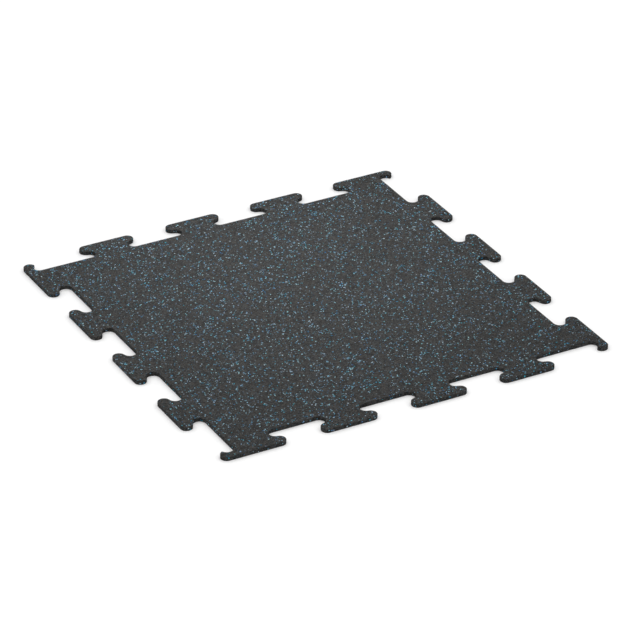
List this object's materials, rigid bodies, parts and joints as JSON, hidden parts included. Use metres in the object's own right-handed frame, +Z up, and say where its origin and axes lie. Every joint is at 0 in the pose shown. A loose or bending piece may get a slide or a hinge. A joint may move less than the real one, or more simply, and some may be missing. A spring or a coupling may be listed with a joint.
{
  "type": "gym floor mat",
  "caption": "Square interlocking floor mat cut from bonded rubber granulate, with rounded dovetail tabs and gaps on every side and hooked corner tabs.",
  "frame": {"origin": "middle of the underside", "axes": "+Z up through the thickness; X and Y along the sides, with the front side facing -Y"},
  "size_m": [1.0154, 1.0154, 0.01],
  "materials": {
    "rubber_granulate": "matt charcoal rubber crumb with scattered sky blue flecks"
  },
  "bodies": {
    "root": {"floor_mat": "rubber_granulate"}
  },
  "joints": []
}
